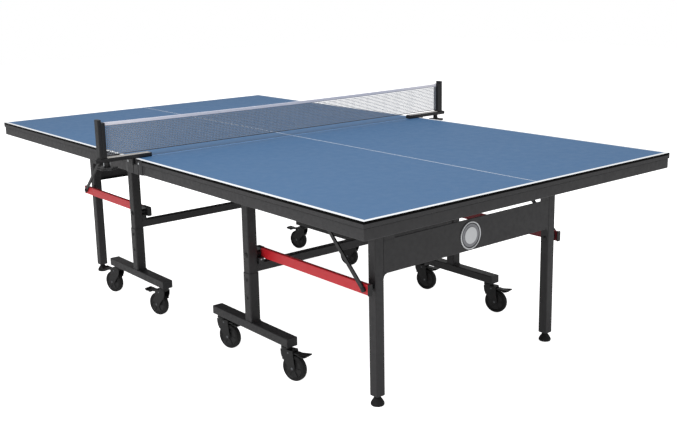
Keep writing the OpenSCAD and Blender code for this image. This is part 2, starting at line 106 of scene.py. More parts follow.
CHEEK_T = 3
HEAD_R = 21             # radius of the caster's swivel head
CROWN_OVER = 5.5        # the fork's crown, above the brake pedal's pivot
HOOD_ARC = (112, 148)   # the fork's hood, in degrees round the wheel's axle
HOOD_R = (53, 55.5)     # its two faces, from the axle
PEDAL_L = 84            # from the brake pedal's pivot to its tip
PEDAL_W = 37            # width of the pedal's tread
NET_PITCH = 7
STRAND = 2.4            # across the corners of a thread
THREAD_SWAY = 0.4       # how far a thread waves to either side
END_CORD_W = 4
TAPE_H = 13
NET_SAG = 6             # drop of the net's top edge in the middle
ARM_REACH = 72          # of a clamp's arm, over the board
WEB_OUT = 6.1           # its web, from the board's edge
WEB_T = 8
KNOB_H = 10             # star knob under the clamp
LOBE = 5                # half the height of its six waves
HIGHLIGHT_ROD_ASIDE = 12.5        # thin zinc rods to either side of the screw: painted highlights at the edges of a chrome boss
LINE_W = 15             # white line along the board's edges
CENTRE_LINE_W = 3
SHADE_BAND_SHARE = 0.4       # share of the edge band, from the top, that is matt black: painted shade under the board's top edge


# ---- Places from the frame ----

def box(node):
    """Lowest and highest corner of a frame node, in millimetres."""
    low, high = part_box(node)
    return np.array(low) / MM, np.array(high) / MM


PIVOTS = {j["name"]: np.array(j.get("pos_m", (0, 0, 0))) / MM for j in frame["record"]["behaviour"]["joints"]}


# ---- Shapes: a part is (points, faces) in millimetres ----

def skin(rings):
    """Quads over closed rings of points, shape (rings, points, 3), with a flat cap at each end."""
    index = np.arange(rings.shape[0] * rings.shape[1]).reshape(rings.shape[:2])
    after = np.roll(index, -1, axis=1)
    quads = np.stack([index[:-1], after[:-1], after[1:], index[1:]], axis=-1).reshape(-1, 4)
    return rings.reshape(-1, 3), quads.tolist() + [index[0][::-1].tolist(), index[-1].tolist()]


def loop_skin(rings):
    """Quads over rings that close in both directions, as on a torus."""
    index = np.arange(rings.shape[0] * rings.shape[1]).reshape(rings.shape[:2])
    along = np.roll(index, -1, axis=0)
    quads = np.stack([index, np.roll(index, -1, axis=1), np.roll(along, -1, axis=1), along], axis=-1)
    return rings.reshape(-1, 3), quads.reshape(-1, 4).tolist()


def join(*parts):
    """Several parts as one: their points in a row and their faces renumbered."""
    starts = np.cumsum([0] + [len(points) for points, _ in parts])
    faces = [[i + int(start) for i in face] for start, (_, own) in zip(starts, parts) for face in own]
    return np.concatenate([points for points, _ in parts]), faces


def moved(part, shift=(0, 0, 0), flip=(1, 1, 1)):
    """The part shifted, then multiplied by flip, where -1 mirrors an axis."""
    return (part[0] + np.array(shift)) * np.array(flip), part[1]


def both_sides(part):
    """The part and its mirror image across the table's length."""
    return join(part, moved(part, flip=(1, -1, 1)))


def pair(part, sign):
    """The part and its mirror image across the table's length, on the near half (sign 1) or the far (-1)."""
    return moved(both_sides(part), flip=(sign, 1, 1))


def round_at(turn):
    """Points of the unit circle at those angles."""
    return np.stack([np.cos(turn), np.sin(turn)], axis=1)


def rounded_rectangle(width, height, radius, steps=5):
    """Outline about the origin: four quarter circles of the radius, joined by straight sides."""
    radius = min(radius, width / 2 - 0.01, height / 2 - 0.01)
    quarter = np.arange(4)[:, None] * math.pi / 2
    turn = (quarter + np.linspace(0, math.pi / 2, steps)).ravel()
    middle = np.repeat(quarter + math.pi / 4, steps)
    centre = np.stack([np.sign(np.cos(middle)) * (width / 2 - radius),
                       np.sign(np.sin(middle)) * (height / 2 - radius)], axis=1)
    return centre + radius * round_at(turn)


def rounded_polygon(corners, radii, steps=6):
    """Outline with each corner P replaced by the curve (1-t)^2 A + 2t(1-t) P + t^2 B between cuts A and B."""
    corner = np.array(corners, float)
    radii = np.broadcast_to(np.array(radii, float), len(corner))[:, None]
    before = np.roll(corner, 1, axis=0) - corner
    after = np.roll(corner, -1, axis=0) - corner
    start = corner + before * radii / np.linalg.norm(before, axis=1, keepdims=True)
    end = corner + after * radii / np.linalg.norm(after, axis=1, keepdims=True)
    t = np.linspace(0, 1, steps)[None, :, None]
    curve = (1 - t) ** 2 * start[:, None] + 2 * t * (1 - t) * corner[:, None] + t ** 2 * end[:, None]
    return curve.reshape(-1, 2)


def link_outline(a, b, radius_a, radius_b, steps=16):
    """Outline of a straight link: half circles about a and b joined by their common tangents."""
    a, b = np.array(a, float), np.array(b, float)
    reach = b - a
    heading = math.atan2(reach[1], reach[0])
    lean = math.acos((radius_a - radius_b) / np.linalg.norm(reach))
    back = heading + np.linspace(lean, 2 * math.pi - lean, steps)
    front = heading + np.linspace(-lean, lean, steps)
    return np.concatenate([a + radius_a * round_at(back), b + radius_b * round_at(front)])


def inset(outline, depth):
    """The outline moved inwards by the depth along the mean normal of its two edges at each point."""
    before = outline - np.roll(outline, 1, axis=0)
    after = np.roll(outline, -1, axis=0) - outline
    tangent = before / np.linalg.norm(before, axis=1, keepdims=True).clip(1e-9)
    tangent = tangent + after / np.linalg.norm(after, axis=1, keepdims=True).clip(1e-9)
    tangent /= np.linalg.norm(tangent, axis=1, keepdims=True).clip(1e-9)
    x, y = outline.T
    turns_left = np.sum(x * np.roll(y, -1) - y * np.roll(x, -1)) > 0
    inwards = np.stack([-tangent[:, 1], tangent[:, 0]], axis=1) * (1 if turns_left else -1)
    return outline + inwards * depth


def lifted(flat, height, axis):
    """Flat points at a height along the axis. The other two axes keep their order."""
    return np.insert(flat, axis, height, axis=1)


ROUND_END = np.linspace(0, math.pi / 2, 4)      # a quarter circle, as the rounded rim of a cut end


def extrude(outline, start, stop, axis, rim=0.8, belts=()):
    """A plate of the outline between two heights, its rims drawn in by a quarter circle of radius rim.

    Its sides are parted at the heights in belts, so that a band of them can take its own finish."""
    depth = rim * (1 - np.sin(ROUND_END))
    rise = rim * (1 - np.cos(ROUND_END))
    low = [lifted(inset(outline, d), start + r, axis) for d, r in zip(depth, rise)]
    high = [lifted(inset(outline, d), stop - r, axis) for d, r in zip(depth[::-1], rise[::-1])]
    return skin(np.array(low + [lifted(outline, height, axis) for height in belts] + high))


def bar(low, high, axis, radius=TUBE_ROUND, rim=0.8, belts=()):
    """A bar between two corners: a rounded rectangle carried along the axis, with rounded rims."""
    low, high = np.minimum(low, high).astype(float), np.maximum(low, high).astype(float)
    across = [i for i in range(3) if i != axis]
    outline = rounded_rectangle(*(high - low)[across], radius) + ((high + low) / 2)[across]
    return extrude(outline, low[axis], high[axis], axis, rim, belts)


def upright(x, y, width, low, high, *shape):
    """An upright square bar about (x, y) between two heights. shape is its radius and rim, as for bar()."""
    return bar((x - width / 2, y - width / 2, low), (x + width / 2, y + width / 2, high), Z, *shape)


def lathe(profile, centre, axis, steps=48):
    """A profile of (radius, height) rows turned about the axis through the centre."""
    profile = np.array(profile, float)
    turn = np.arange(steps) * 2 * math.pi / steps
    flat = profile[:, :1, None] * round_at(turn).T[None]
    rings = np.stack([lifted(ring.T, height, axis) for ring, height in zip(flat, profile[:, 1])])
    return skin(rings + np.array(centre, float))


def bolt(centre, axis, radius, height, facing=1):
    """A domed bolt head on a washer: its height over the washer falls off as a quarter circle."""
    dome = np.linspace(0, math.pi / 2 * 0.94, 5)
    rows = [(radius, 0), (radius, 0.25 * height)]
    rows += [(0.82 * radius * math.cos(t), height * (0.25 + 0.75 * math.sin(t))) for t in dome]
    return lathe([(r, facing * h) for r, h in rows], centre, axis, 24)


def weld_bead(width, height, centre, axis, radius=2.2):
    """A bead round the foot of a square tube: a small circle, rippled 16 times a side, along its outline."""
    path = rounded_rectangle(width, height, TUBE_ROUND, 12)
    path = np.concatenate([path, np.roll(path, -1, axis=0)], axis=1).reshape(-1, 2, 2)
    share = np.linspace(0, 1, 6, endpoint=False)[None, :, None]
    path = (path[:, :1] * (1 - share) + path[:, 1:] * share).reshape(-1, 2)
    count = len(path)
    away = path - inset(path, 1)
    ripple = 1 + 0.18 * np.sin(np.arange(count) * 64 * 2 * math.pi / count)
    turn = np.arange(6) * math.pi / 3
    out = radius * ripple[:, None] * np.cos(turn)
    up = radius * ripple[:, None] * np.sin(turn)
    flat = path[:, None] + away[:, None] * out[..., None]
    rings = np.insert(flat, axis, 0, axis=2)
    rings[..., axis] = up
    return loop_skin(rings + np.array(centre, float))


def carried(path, width, height, radius):
    """A rounded rectangle carried upright along a level path, its corners mitred.

    At a point of the path the section is set off along (a + b) / (1 + a.b), where a and b are the sideways
    directions of the two stretches that meet there."""
    path = np.array(path, float)
    along = np.diff(path, axis=0)
    along /= np.linalg.norm(along, axis=1, keepdims=True)
    side = np.stack([along[:, 1], -along[:, 0], np.zeros(len(along))], axis=1)
    before = np.concatenate([side[:1], side])
    after = np.concatenate([side, side[-1:]])
    mitre = (before + after) / (1 + np.sum(before * after, axis=1, keepdims=True))
    section = rounded_rectangle(width, height, radius)
    rings = path[:, None] + section[None, :, :1] * mitre[:, None]
    rings[..., 2] += section[:, 1]
    return skin(rings)


# ---- Materials ----

def linear(hex_colour):
    """sRGB hex to linear RGBA."""
    values = [int(hex_colour[i:i + 2], 16) / 255 for i in (0, 2, 4)]
    return [v / 12.92 if v <= 0.04045 else ((v + 0.055) / 1.055) ** 2.4 for v in values] + [1.0]


def add(tree, kind, inputs=None, **settings):
    """Adds a node with its settings, and sets or links its inputs by name or number."""
    made = tree.nodes.new(kind)
    for key, value in settings.items():
        setattr(made, key, value)
    for key, value in (inputs or {}).items():
        if isinstance(value, bpy.types.NodeSocket):
            tree.links.new(value, made.inputs[key])
        else:
            made.inputs[key].default_value = value
    return made


def finish(name, **values):
    """A material with its shader's own sockets set, and Object coordinates for its patterns."""
    material = bpy.data.materials.new(name)
    material.use_nodes = True
    tree = material.node_tree
    shader = tree.nodes["Principled BSDF"]
    for key, value in values.items():
        shader.inputs[key.replace("_", " ")].default_value = value
    place = add(tree, "ShaderNodeTexCoord").outputs["Object"]
    return material, tree, shader, place


def surface(shader, colour, roughness, normal=None):
    """Links the sockets of a colour, a roughness and a normal to the shader."""
    links = shader.id_data.links
    links.new(colour, shader.inputs["Base Color"])
    links.new(roughness, shader.inputs["Roughness"])
    if normal is not None:
        links.new(normal, shader.inputs["Normal"])


def mottled(tree, place, colour, size_mm, amount):
    """The colour, lighter and darker by the amount in soft clouds of that size. Returns a colour socket."""
    cloud = add(tree, "ShaderNodeTexNoise", {"Vector": place, "Scale": 1000 / size_mm, "Detail": 3.0})
    base = linear(colour)
    dark = [c * (1 - amount) for c in base[:3]] + [1]
    light = [min(c * (1 + amount), 1) for c in base[:3]] + [1]
    blend = add(tree, "ShaderNodeMix", {0: cloud.outputs["Fac"], 6: dark, 7: light}, data_type="RGBA")
    return blend.outputs[2]


def varied(tree, place, low, high, size_mm):
    """A value between low and high in clouds of that size, as for roughness. Returns a value socket."""
    cloud = add(tree, "ShaderNodeTexNoise", {"Vector": place, "Scale": 1000 / size_mm, "Detail": 4.0})
    spread = add(tree, "ShaderNodeMapRange", {"Value": cloud.outputs["Fac"], "From Min": 0.3, "From Max": 0.7,
                                              "To Min": low, "To Max": high})
    return spread.outputs["Result"]


def relief(tree, height, depth_mm, strength=1.0):
    """A bump of that depth from a height socket. Returns a normal socket."""
    bump = add(tree, "ShaderNodeBump", {"Height": height, "Distance": depth_mm * MM, "Strength": strength})
    return bump.outputs["Normal"]


def powder_coat(name, colour, low, high):
    """Powder coat baked on steel: satin, with orange peel.

    The peel is about 1 mm on the real tube and is drawn 2.5 mm wide here so that it shows."""
    material, tree, shader, place = finish(name, IOR=1.5)
    peel = add(tree, "ShaderNodeTexNoise", {"Vector": place, "Scale": 1000 / 2.5, "Detail": 2.0})
    surface(shader, mottled(tree, place, colour, 90, 0.05), varied(tree, place, low, high, 14),
            relief(tree, peel.outputs["Fac"], 0.12))
    return material


def moulded(name, colour, low, high, grain_mm):
    """Moulded plastic or rubber: matt, with the fine spark-eroded grain of its mould."""
    material, tree, shader, place = finish(name, IOR=1.46)
    grain = add(tree, "ShaderNodeTexVoronoi", {"Vector": place, "Scale": 1000 / grain_mm})
    surface(shader, mottled(tree, place, colour, 30, 0.06), varied(tree, place, low, high, 8),
            relief(tree, grain.outputs["Distance"], 0.06))
    return material


def plated(name, colour, low, high):
    """Zinc-plated steel: a bright metal with faint passivation clouds."""
    material, tree, shader, place = finish(name, Metallic=1.0)
    surface(shader, mottled(tree, place, colour, 6, 0.12), varied(tree, place, low, high, 4))
    return material


def within(tree, value, limit):
    """1 where the value is under the limit, else 0."""
    return add(tree, "ShaderNodeMath", {0: value, 1: limit}, operation="LESS_THAN").outputs[0]


def either(tree, *masks):
    """The largest of several masks."""
    joined = masks[0]
    for mask in masks[1:]:
        joined = add(tree, "ShaderNodeMath", {0: joined, 1: mask}, operation="MAXIMUM").outputs[0]
    return joined


def playing_surface(name):
    """Matt lacquer rolled on particle board, with screen-printed white lines: an even, soft, glare-free blue.

    The lines are 15 mm along the outer edges and 3 mm along the middle. The roller's stipple is under
    0.5 mm on the real board and is drawn 2 mm wide."""
    material, tree, shader, place = finish(name, IOR=1.45)
    high = box("near_tabletop")[1]
    split = add(tree, "ShaderNodeSeparateXYZ", {0: place})
    across = add(tree, "ShaderNodeMath", {0: split.outputs["Y"]}, operation="ABSOLUTE").outputs[0]
    along = add(tree, "ShaderNodeMath", {0: split.outputs["X"]}, operation="ABSOLUTE").outputs[0]
    from_side = add(tree, "ShaderNodeMath", {0: high[Y] * MM, 1: across}, operation="SUBTRACT").outputs[0]
    from_end = add(tree, "ShaderNodeMath", {0: high[X] * MM, 1: along}, operation="SUBTRACT").outputs[0]
    lines = either(tree, within(tree, from_side, LINE_W * MM), within(tree, from_end, LINE_W * MM),
                   within(tree, across, CENTRE_LINE_W / 2 * MM))
    blue = mottled(tree, place, "406993", 260, 0.03)
    white = mottled(tree, place, "eef1f4", 40, 0.02)
    paint = add(tree, "ShaderNodeMix", {0: lines, 6: blue, 7: white}, data_type="RGBA")
    stipple = add(tree, "ShaderNodeTexNoise", {"Vector": place, "Scale": 1000 / 2.0, "Detail": 2.0})
    surface(shader, paint.outputs[2], varied(tree, place, 0.5, 0.6, 30),
            relief(tree, stipple.outputs["Fac"], 0.04))
    return material


def edge_band(name, colour, **values):
    """ABS band round the board's edge: satin, or dead matt black with its specular level near nothing, which
    is painted shade.
    """
    material, tree, shader, place = finish(name, IOR=1.5, **values)
    stretch = add(tree, "ShaderNodeMapping", {"Vector": place, "Scale": (1, 1, 0.05)})
    strokes = add(tree, "ShaderNodeTexNoise", {"Vector": stretch.outputs[0], "Scale": 500.0, "Detail": 1.0})
    surface(shader, mottled(tree, place, colour, 60, 0.06), varied(tree, place, 0.42, 0.55, 12),
            relief(tree, strokes.outputs["Fac"], 0.05))
    return material


def board_underside(name):
    """Particle board under thin black paint: the flat chips show through as flakes 3 to 8 mm long."""
    material, tree, shader, place = finish(name, IOR=1.45)
    chips = add(tree, "ShaderNodeTexVoronoi", {"Vector": place, "Scale": 1000 / 6, "Randomness": 1.0})
    shade = add(tree, "ShaderNodeMix", {0: chips.outputs["Color"], 6: linear("1f1f20"), 7: linear("343333")},
                data_type="RGBA")
    surface(shader, shade.outputs[2], varied(tree, place, 0.6, 0.8, 10),
            relief(tree, chips.outputs["Distance"], 0.1))
    return material


def spun_disc(name, colour, centre):
    """Aluminium turned on a lathe: fine rings about the disc's middle, which stretch the highlight."""
    material, tree, shader, place = finish(name, Metallic=0.6, IOR=1.5)
    about = add(tree, "ShaderNodeMapping", {"Vector": place, "Location": tuple(-c * MM for c in centre)})
    split = add(tree, "ShaderNodeSeparateXYZ", {0: about.outputs[0]})
    flat = add(tree, "ShaderNodeCombineXYZ", {1: split.outputs["Y"], 2: split.outputs["Z"]})
    radius = add(tree, "ShaderNodeVectorMath", {0: flat.outputs[0]}, operation="LENGTH").outputs["Value"]
    rings = add(tree, "ShaderNodeTexNoise", {"W": radius, "Scale": 1400.0, "Detail": 2.0},
                noise_dimensions="1D")
    surface(shader, mottled(tree, place, colour, 12, 0.04), varied(tree, place, 0.34, 0.5, 6),
            relief(tree, rings.outputs["Fac"], 0.05))
    return material


def woven_tape(name, colour):
    """Cotton tape in plain weave: crossed threads 1.2 mm apart, drawn a little coarse so that they show."""
    material, tree, shader, place = finish(name, IOR=1.45, Sheen_Weight=0.3)
    threads = [add(tree, "ShaderNodeTexWave", {"Vector": place, "Scale": 1000 / 1.2 / 6.5},
                   wave_type="BANDS", bands_direction=axis).outputs["Fac"] for axis in ("Y", "Z")]
    weave = add(tree, "ShaderNodeMath", {0: threads[0], 1: threads[1]}, operation="MULTIPLY")
    surface(shader, mottled(tree, place, colour, 20, 0.05), varied(tree, place, 0.75, 0.9, 10),
            relief(tree, weave.outputs[0], 0.25))
    return material


def twisted_cord(name, colour):
    """Twisted nylon: matt, with the twist as fine slanting bands."""
    material, tree, shader, place = finish(name, IOR=1.5)
    twist = add(tree, "ShaderNodeTexWave", {"Vector": place, "Scale": 90.0, "Distortion": 0.4},
                wave_type="BANDS", bands_direction="DIAGONAL")
    surface(shader, mottled(tree, place, colour, 25, 0.12), varied(tree, place, 0.6, 0.8, 10),
            relief(tree, twist.outputs["Fac"], 0.1))
    return material


PLAYING_BLUE = playing_surface("blue matt lacquer with white lines")
EDGE_BAND = edge_band("charcoal edge band", "232224")
# Matt black with almost no reflection: painted shade of the seam under the board's top edge.
SHADOW_BAND = edge_band("matt black edge band with painted shade", "050505", Specular_IOR_Level=0.03)
BOARD_UNDER = board_underside("painted particle board")
# Pale blue on the edge facing the net: painted light, so the gap between the boards does not read as shaded.
NET_EDGE_PAINTED_LIGHT = moulded("pale blue net edge with painted light", "8ab6e6", 0.5, 0.6, 2.0)
CHARCOAL = powder_coat("charcoal powder coat", "242325", 0.42, 0.56)
FRAME_BLACK = powder_coat("satin black powder coat", "1b1a1c", 0.44, 0.58)
BRACKET_BLACK = powder_coat("black powder coat", "18181a", 0.38, 0.5)
RED = powder_coat("red powder coat", "d6232e", 0.36, 0.48)
# Same red powder coat made darker: painted shade for the link bars' inner faces under the board.
RED_PAINTED_SHADE = powder_coat("red powder coat with painted shade", "7a1c24", 0.44, 0.56)
PLASTIC = moulded("moulded polypropylene", "19191b", 0.4, 0.52, 1.6)
NYLON = moulded("moulded glass-filled nylon", "0f0f10", 0.42, 0.55, 1.4)
RUBBER = moulded("thermoplastic rubber", "0c0c0d", 0.66, 0.8, 1.2)
ZINC = plated("zinc-plated steel", "c9cccf", 0.22, 0.36)
DULL_STEEL = plated("dull phosphated steel", "6f7174", 0.45, 0.6)
LIGHT_COVER = moulded("pale grey moulded cover", "b9b6b3", 0.4, 0.5, 1.6)
TAPE = woven_tape("white cotton tape", "e9e7f0")
STRAND_GREY = twisted_cord("grey nylon netting", "888c94")
DARK_CORD = twisted_cord("black nylon cord", "2e3036")


# ---- Making pieces ----

def piece(name, part, materials, body, nodes=(), pick=None):
    """An object in metres that rides on a body and stands for frame nodes.

    pick takes each face's centre in millimetres and its normal, and gives its material's number."""
    points, faces = part
    mesh = bpy.data.meshes.new(name)
    mesh.from_pydata((points * MM).tolist(), [], faces)
    outwards = bmesh.new()
    outwards.from_mesh(mesh)
    bmesh.ops.recalc_face_normals(outwards, faces=outwards.faces)
    outwards.to_mesh(mesh)
    outwards.free()
    for material in materials:
        mesh.materials.append(material)
    if pick:
        centre = np.empty(len(mesh.polygons) * 3)
        normal = np.empty(len(mesh.polygons) * 3)
        mesh.polygons.foreach_get("center", centre)
        mesh.polygons.foreach_get("normal", normal)
        choice = pick(centre.reshape(-1, 3) / MM, normal.reshape(-1, 3))
        mesh.polygons.foreach_set("material_index", choice.astype(np.int32))
    mesh.shade_smooth()
    mesh.set_sharp_from_angle(angle=math.radians(34))
    made = bpy.data.objects.new(name, mesh)
    bpy.context.collection.objects.link(made)
    flats = made.modifiers.new("flat faces stay flat", "WEIGHTED_NORMAL")
    flats.keep_sharp = True
    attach(made, body)
    if nodes:
        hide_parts(*nodes)
    return made


def dress(node, material):
    """Gives a frame node that keeps its own shape a finish."""
    mesh = frame["nodes"][node].data
    mesh.materials.clear()
    mesh.materials.append(material)


# ---- Board and apron ----

def make_board(half, sign):
    """Board with its arrises eased: blue lacquer above, a paler blue on the edge at the net (painted light),
    a charcoal edge band with a matt black upper part (painted shade) on the other edges, painted board below."""
    low, high = box("near_tabletop")
    parting = high[Z] - (high[Z] - low[Z]) * SHADE_BAND_SHARE
    part = moved(bar(low, high, Z, radius=2.5, rim=1.0, belts=[parting]), flip=(sign, 1, 1))

    def faces(centre, normal):
        # Upper part of the edge band: matt black as painted shade under the playing surface's edge.
        band = np.where(centre[:, 2] > parting, 4, 2)
        # Edge facing the net: pale blue as painted light in the gap between the boards.
        edge = np.where(sign * normal[:, 0] < -0.3, 3, band)
        return np.where(normal[:, 2] > 0.9, 0, np.where(normal[:, 2] < -0.5, 1, edge))

    finishes = [PLAYING_BLUE, BOARD_UNDER, EDGE_BAND, NET_EDGE_PAINTED_LIGHT, SHADOW_BAND]
    piece(f"board_{half}", part, finishes, f"{half}_top", [f"{half}_tabletop"], faces)


def make_apron(half, sign):
    """The apron tube mitred round three sides, the rail beside the net, the stiffener and two guards.

    A guard is a cheek beside the board, a slope from it in to the tube's face, and a shelf below."""
    board_low, board_high = box("near_tabletop")
    low, high = box("near_aprons")
    under, top = board_low[Z], high[Z]
    out_x, out_y = board_high[X] - APRON_INSET, board_high[Y] - APRON_INSET
    start = board_low[X] + GUARD_L
    mid_x, mid_y, mid_z = out_x - APRON_T / 2, out_y - APRON_T / 2, (low[Z] + under) / 2
    corners = [(start, -mid_y, mid_z), (mid_x, -mid_y, mid_z), (mid_x, mid_y, mid_z), (start, mid_y, mid_z)]
    frame_tube = carried(corners, APRON_T, under - low[Z], APRON_ROUND)
    rail_x, rail_y = board_low[X] + APRON_INSET, board_high[Y] - GUARD_L
    net_rail = bar((rail_x, -rail_y, low[Z]), (rail_x + APRON_T, rail_y, under), Y)
    inner_leg = box("near_end_panel")[1][Y] + LEG_W / 2
    stiffener = bar((STIFFENER_X, -inner_leg, under - APRON_T), (STIFFENER_X + APRON_T, inner_leg, under), Y)
    guard_start = min(sign * corner[X] for corner in box(f"{half}_aprons"))
    shelf_start = max(guard_start, low[X])
    board_side = board_high[Y]
    cheek_in = board_side + HAIR
    cheek_out = cheek_in + GUARD_T
    slope_out = board_side + GUARD_T - 0.4
    taper, slope_end = start - GUARD_TAPER, start + SLOPE_PAST
    cheek = [(guard_start, cheek_in), (start, cheek_in), (start, board_side + 0.5), (taper, cheek_out),
             (guard_start, cheek_out)]
    slope = [(shelf_start, out_y - 2), (slope_end, out_y - 2), (slope_end, out_y + 0.3), (taper, slope_out),
             (shelf_start, slope_out)]
    guard = join(extrude(rounded_polygon(cheek, 0.3), low[Z], top, Z, 0.6),
                 extrude(rounded_polygon(slope, 0.3), low[Z] + 0.2, under - 0.3, Z, 0.6),
                 bar((shelf_start, out_y - APRON_T, low[Z]), (start, board_side + 1, low[Z] + GUARD_T),
                     X, 1, 0.5))
    part = join(frame_tube, net_rail, stiffener, both_sides(guard))
    piece(f"apron_{half}", moved(part, flip=(sign, 1, 1)), [CHARCOAL], f"{half}_top", [f"{half}_aprons"])
    rivet = bolt((start - GUARD_RIVET[0], cheek_out, top - GUARD_RIVET[1]), Y, 4.5, 2.2)
    piece(f"guard_rivets_{half}", pair(rivet, sign), [ZINC], f"{half}_top")
    dress(f"{half}_top_brackets", BRACKET_BLACK)


# ---- Roller frame ----

def hinge_cheeks(middle, hinge, width, height_low):
    """Two plates beside a square tube: an eye about the hinge pin that widens into a tail down the tube."""
    tail_in, tail_out = middle[0] - width / 2 + 4, middle[0] + width / 2 - 6
    x, z = hinge[X], hinge[Z]
    eye = HINGE_EYE
    corners = [(x - eye, z + eye), (x + eye, z + eye), (tail_out, z - PLATE_T), (tail_out, height_low),
               (tail_in, height_low), (x - eye, z - eye)]
    outline = rounded_polygon(corners, [eye - 0.1, eye / 2, 4, 4, 4, eye - 0.1])
    inner = middle[1] - width / 2 - HAIR - PLATE_T
    outer = middle[1] + width / 2 + HAIR
    return join(*(extrude(outline, y, y + PLATE_T, Y, 0.5) for y in (inner, outer)))


def post_centre():
    """Middle of the near right roller post, from the cross tube's box."""
    low, high = box("near_cross_tube")
    return (low[X] + high[X]) / 2, high[Y] + POST_W / 2


def leg_centre():
    """Middle of the near right end leg, from the brace's pivot and the levelling foot under the leg."""
    foot_low, foot_high = box("levelling_foot_near_right")
    return PIVOTS["near_brace_swing"][X], (foot_low[Y] + foot_high[Y]) / 2


def make_roller_frame(half, sign):
    """Posts with sleeves, foot bars, the cross tube, caps and bolts, and a block under each link bar's pivot.

    Weld beads run round the foot of each sleeve and the ends of the cross tube."""
    body = f"chassis_{half}"
    x, y = post_centre()
    bar_low, bar_high = box("near_foot_bars")
    cross_low, cross_high = box("near_cross_tube")
    caps_low, caps_high = box("near_caps_and_bolts")
    top = caps_high[Z]
    sleeve_top = cross_low[Z] - HAIR
    post = join(upright(x, y, POST_W, bar_high[Z], top - CAP_T),
                upright(x, y, SLEEVE_W, bar_high[Z], sleeve_top, TUBE_ROUND + 2, 1.2),
                weld_bead(SLEEVE_W, SLEEVE_W, (x, y, bar_high[Z]), Z),
                hinge_cheeks((x, y), PIVOTS["near_tilt"], POST_W, top - PLATE_DROP))
    piece(f"roller_posts_{half}", pair(post, sign), [FRAME_BLACK], body, [f"{half}_roller_posts"])

    pivot_z = PIVOTS["near_bar_swing"][Z]
    fitting_out = box("near_link_bars")[1][Y] + FITTING_WALL
    bracket_x, post_in = x + POST_W / 2 + BRACKET_OUT, y - POST_W / 2
    bracket = bar((x - BRACKET_L / 2, fitting_out + 2, cross_high[Z] - 2),
                  (bracket_x, post_in + 1, pivot_z - BRACKET_TOP), Z, 2)
    piece(f"bar_brackets_{half}", pair(bracket, sign), [BRACKET_BLACK], body)
    screw = bolt((bracket_x, post_in - BRACKET_SCREW[0], pivot_z - BRACKET_SCREW[1]), X, 3.2, 2)
    piece(f"bracket_screws_{half}", pair(screw, sign), [ZINC], body)

    foot_in, foot_out = y - FOOT_BAR_W / 2, y + FOOT_BAR_W / 2
    foot = bar((bar_low[X], foot_in, bar_low[Z]), (bar_high[X], foot_out, bar_high[Z]), X)
    piece(f"foot_bars_{half}", pair(foot, sign), [FRAME_BLACK], body, [f"{half}_foot_bars"])
    size = cross_high - cross_low
    middle = (cross_low + cross_high) / 2
    bead = weld_bead(size[X], size[Z], (middle[X], cross_high[Y] - 0.5, middle[Z]), Y, 1.8)
    cross = join(bar(cross_low, cross_high, Y), both_sides(bead))
    piece(f"cross_tube_{half}", moved(cross, flip=(sign, 1, 1)), [CHARCOAL], body, [f"{half}_cross_tube"])
    caps = [bar((end, foot_in, bar_low[Z]), (end + CAP_T, foot_out, bar_high[Z]), X, 3)
            for end in (caps_low[X], caps_high[X] - CAP_T)]
    caps.append(upright(x, y, POST_W, top - CAP_T, top, 5, 1.2))
    piece(f"end_caps_{half}", pair(join(*caps), sign), [PLASTIC], body, [f"{half}_caps_and_bolts"])
    bolts = [bolt((x, y + SLEEVE_W / 2, sleeve_top - drop), Y, 7, 4) for drop in SLEEVE_BOLTS]
    piece(f"sleeve_bolts_{half}", pair(join(*bolts), sign), [BRACKET_BLACK], body)


# ---- End legs ----

def make_end_legs(half, sign):
    """Leg tubes with a moulded plug at the foot, and hinge plates at the top."""
    x, y = leg_centre()
    low, top = box("near_end_legs")[0][Z], box("near_aprons")[0][Z]
    tube = upright(x, y, LEG_W, low + 2, top)
    plug = join(upright(x, y, LEG_W, low, low + 3, 5, 1.2),
                lathe([(13, low - 3), (14, low - 2), (14, low + 1)], (x, y, 0), Z, 32))
    cheeks = hinge_cheeks((x, y), PIVOTS["near_leg_fold"], LEG_W, top - PLATE_DROP)
    piece(f"end_legs_{half}", pair(join(tube, cheeks), sign), [CHARCOAL], f"{half}_legs",
          [f"{half}_end_legs"])
    piece(f"leg_plugs_{half}", pair(plug, sign), [PLASTIC], f"{half}_legs")


def make_end_panel(half, sign):
    """Folded sheet: a C section with round bends, its top flange falling towards the back.

    Beside each leg it has an ear above it and a fillet, a square less a quarter circle, under it."""
    low, high = box("near_end_panel")
    wall = PANEL_WALL
    top = low[Z] + PANEL_H
    back_top = top - FLANGE_FALL
    inside = high[X] - wall
    folded = [(high[X], low[Z]), (high[X], top), (low[X], back_top), (low[X], back_top - wall),
              (inside, top - wall), (inside, low[Z] + wall), (low[X], low[Z] + wall), (low[X], low[Z])]
    section = rounded_polygon(folded, [4, 4, 0.8, 0.8, 2, 2, 0.8, 0.8])
    sheet = extrude(section, low[Y], high[Y], Y, 0.3)
    ear = rounded_polygon([(high[Y] - EAR_W, top - LAP), (high[Y], top - LAP), (high[Y], high[Z]),
                           (high[Y] - EAR_W, high[Z])], [0.5, 0.5, 0.5, 5])
    turn = np.linspace(0, math.pi / 2, 8)
    hollow_y, hollow_z = high[Y] - FILLET, low[Z] - FILLET
    hollow = np.stack([hollow_y + FILLET * np.sin(turn), hollow_z + FILLET * np.cos(turn)], axis=1)
    fillet = np.concatenate([[(high[Y], low[Z] + LAP), (hollow_y, low[Z] + LAP)], hollow])
    corners = join(*(extrude(outline, inside, high[X], X, 0.2) for outline in (ear, fillet)))
    part = join(sheet, both_sides(corners))
    piece(f"end_panel_{half}", moved(part, flip=(sign, 1, 1)), [CHARCOAL], f"{half}_legs",
          [f"{half}_end_panel"])


